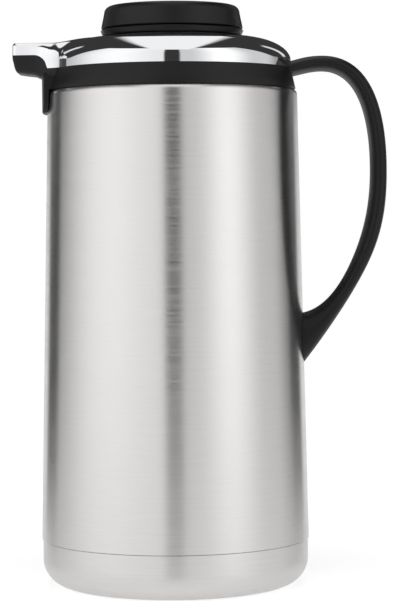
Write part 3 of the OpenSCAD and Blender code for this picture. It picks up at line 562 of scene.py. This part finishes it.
def add_floor():
    """A pale round table top that keeps the object's shadow and reads as white."""
    bpy.ops.mesh.primitive_circle_add(vertices=96, radius=FLOOR_R, fill_type="NGON",
                                      location=(0, 0, FLOOR_Z))
    floor = bpy.context.object
    floor.name = "floor"
    material = bpy.data.materials.new("floor")
    material.use_nodes = True
    g = Graph(material.node_tree)
    diffuse = g.node("ShaderNodeBsdfDiffuse")
    diffuse.inputs["Color"].default_value = (FLOOR_GREY, FLOOR_GREY, FLOOR_GREY, 1)
    glow = g.node("ShaderNodeEmission")
    ray = g.node("ShaderNodeLightPath").outputs
    seen = g.math("MAXIMUM", ray["Is Camera Ray"], ray["Is Transmission Ray"])
    seen = g.math("MULTIPLY", seen, FLOOR_GLOW)
    glossy = g.math("MULTIPLY", ray["Is Glossy Ray"], FLOOR_GLOSSY_GLOW)
    g.put(glow.inputs["Strength"], g.math("MAXIMUM", seen, glossy))
    both = g.node("ShaderNodeAddShader")
    g.put(both.inputs[0], diffuse.outputs[0])
    g.put(both.inputs[1], glow.outputs[0])
    g.put(g.node("ShaderNodeOutputMaterial").inputs["Surface"], both.outputs[0])
    floor.data.materials.append(material)


def new_material(name):
    """A material with a Principled shader wired to its output: (material, graph, shader)."""
    material = bpy.data.materials.new(name)
    material.use_nodes = True
    g = Graph(material.node_tree)
    shader = g.node("ShaderNodeBsdfPrincipled")
    g.put(g.node("ShaderNodeOutputMaterial").inputs["Surface"], shader.outputs[0])
    return material, g, shader


def shade(colour, factor=1.0):
    """A colour, brighter or darker, as a socket takes it."""
    return tuple(c * factor for c in colour) + (1,)


BRUSH_PITCH = 0.0011  # height of one band of the grit's noise
BRUSH_LENGTH = 2.2  # how often the fine scratches change on the way round
BROAD_PITCH = 0.045  # the broad bands change this much slower than the fine ones


def brushed_steel():
    """Satin steel, brushed round the axis with a fine grit that never closes on itself."""
    material, g, shader = new_material("brushed_steel")
    x, y, z = g.xyz(g.object_point())
    radius = g.math("SQRT", g.math("ADD", g.math("MULTIPLY", x, x), g.math("MULTIPLY", y, y)))
    wide = g.math("MAXIMUM", radius, 0.001)
    cx, cy = g.math("DIVIDE", x, wide), g.math("DIVIDE", y, wide)
    across = g.math("DIVIDE", g.math("ADD", z, radius), BRUSH_PITCH)
    round_about = (g.math("MULTIPLY", cx, BRUSH_LENGTH), g.math("MULTIPLY", cy, BRUSH_LENGTH))
    fine = g.noise(g.vector(*round_about, across), 1.0, 4.0, 0.7)
    broad = g.noise(g.vector(cx, cy, g.math("MULTIPLY", across, BROAD_PITCH)), 1.0, 3.0, 0.6)
    both = g.math("ADD", g.math("MULTIPLY", fine, 0.75), g.math("MULTIPLY", broad, 0.25))
    g.put(shader.inputs["Base Color"],
          g.mix(both, shade((0.70, 0.688, 0.678)), shade((0.86, 0.848, 0.838))))
    g.put(shader.inputs["Roughness"], g.smooth(both, 0.3, 0.7, 0.27, 0.37))
    shader.inputs["Metallic"].default_value = 1.0
    # The blur runs up and down, across the scratches
    shader.inputs["Anisotropic"].default_value = 0.9
    shader.inputs["Anisotropic Rotation"].default_value = 0.25
    tangent = g.node("ShaderNodeTangent", direction_type="RADIAL", axis="Z")
    g.put(shader.inputs["Tangent"], tangent.outputs[0])
    g.put(shader.inputs["Normal"], g.bump(fine, 0.00001, 0.35))
    return material


def bright_chrome():
    """Mirror plating with a faint haze of wiping marks."""
    material, g, shader = new_material("bright_chrome")
    haze = g.noise(g.object_point(), 60.0, 4.0, 0.6)
    shader.inputs["Base Color"].default_value = shade((0.86, 0.865, 0.88))
    shader.inputs["Metallic"].default_value = 1.0
    g.put(shader.inputs["Roughness"], g.smooth(haze, 0.35, 0.75, 0.03, 0.07))
    return material


GRAIN, GRAIN_DEPTH = 0.00045, 0.000012


def moulded(name, colour, roughness):
    """Moulded plastic: a fine spark-eroded grain and slight flow of tone."""
    material, g, shader = new_material(name)
    spot = g.object_point()
    fine = g.noise(spot, 1 / GRAIN, 3.0, 0.6)
    broad = g.noise(spot, 35.0, 3.0, 0.55)
    g.put(shader.inputs["Base Color"], g.mix(broad, shade(colour, 0.8), shade(colour, 1.25)))
    g.put(shader.inputs["Roughness"],
          g.smooth(broad, 0.3, 0.7, roughness - 0.04, roughness + 0.05))
    shader.inputs["Specular IOR Level"].default_value = 0.3
    g.put(shader.inputs["Normal"], g.bump(fine, GRAIN_DEPTH, 0.6))
    return material


def screw_metal():
    """Plated steel of screws and plates, with a patchy dull finish."""
    material, g, shader = new_material("screw_steel")
    patch = g.noise(g.object_point(), 400.0, 4.0, 0.6)
    colour = (0.6, 0.61, 0.63)
    g.put(shader.inputs["Base Color"], g.mix(patch, shade(colour, 0.8), shade(colour)))
    g.put(shader.inputs["Roughness"], g.smooth(patch, 0.3, 0.7, 0.3, 0.45))
    shader.inputs["Metallic"].default_value = 1.0
    return material


def silvered_glass():
    """Glass wall with a silver layer behind it, a little uneven."""
    material, g, shader = new_material("silvered_glass")
    wave = g.noise(g.object_point(), 25.0, 2.0, 0.5)
    g.put(shader.inputs["Base Color"],
          g.mix(wave, shade((0.74, 0.75, 0.78)), shade((0.86, 0.87, 0.88))))
    g.put(shader.inputs["Roughness"], g.smooth(wave, 0.3, 0.7, 0.05, 0.12))
    shader.inputs["Metallic"].default_value = 1.0
    g.put(shader.inputs["Normal"], g.bump(wave, 0.0006, 0.5))
    return material


def soft_rubber():
    """Translucent white sealing rubber."""
    material, g, shader = new_material("silicone")
    cloud = g.noise(g.object_point(), 120.0, 3.0, 0.6)
    colour = (0.66, 0.65, 0.62)
    g.put(shader.inputs["Base Color"], g.mix(cloud, shade(colour, 0.88), shade(colour)))
    g.put(shader.inputs["Roughness"], g.smooth(cloud, 0.3, 0.7, 0.42, 0.58))
    shader.inputs["Subsurface Weight"].default_value = 0.15
    shader.inputs["Subsurface Radius"].default_value = (0.003, 0.0026, 0.002)
    return material


def foam():
    """Open insulating foam with small cells."""
    material, g, shader = new_material("foam")
    cells = g.node("ShaderNodeTexVoronoi")
    g.put(cells.inputs["Vector"], g.object_point())
    cells.inputs["Scale"].default_value = 900.0
    cell = cells.outputs["Distance"]
    g.put(shader.inputs["Base Color"],
          g.mix(cell, shade((0.62, 0.58, 0.47)), shade((0.86, 0.83, 0.74))))
    shader.inputs["Roughness"].default_value = 0.9
    g.put(shader.inputs["Normal"], g.bump(cell, 0.0004, 0.8))
    return material


BLACK = (0.0056, 0.0056, 0.0062)
DARK_GREY = (0.03, 0.03, 0.031)


def finish_nodes(pieces):
    """Gives every CAD node, and every piece that stands for one, the material of its slot."""
    glass = silvered_glass()
    made = {
        "brushed_steel": brushed_steel(),
        "bright_chrome": bright_chrome(),
        "black_plastic": moulded("black_plastic", BLACK, 0.42),
        "handle_plastic": moulded("handle_plastic", BLACK, 0.46),
        "knob_plastic": moulded("knob_plastic", BLACK, 0.40),
        "stopper_plastic": moulded("stopper_plastic", BLACK, 0.36),
        "inner_plastic": moulded("inner_plastic", DARK_GREY, 0.5),
        "silvered_glass": glass,
        "clear_glass": glass,
        "silicone": soft_rubber(),
        "screw_steel": screw_metal(),
        "foam": foam(),
    }
    for name, node in frame["nodes"].items():
        for place_in in node.material_slots:
            place_in.material = made[SLOT_OF[name]]
    for piece in pieces:
        piece.data.materials.clear()
        piece.data.materials.append(made[piece["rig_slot"]])


add_camera()
add_world()
add_floor()
finish_nodes([
    shoulder(),
    handle(),
    smooth_copy("collar", 35),
    smooth_copy("base_cap", 25),
    smooth_copy("outer_casing", 25),
    smooth_copy("stopper_sleeve", 25),
    smooth_copy("stopper_knob", 25),
])
scene.view_settings.view_transform = "Standard"
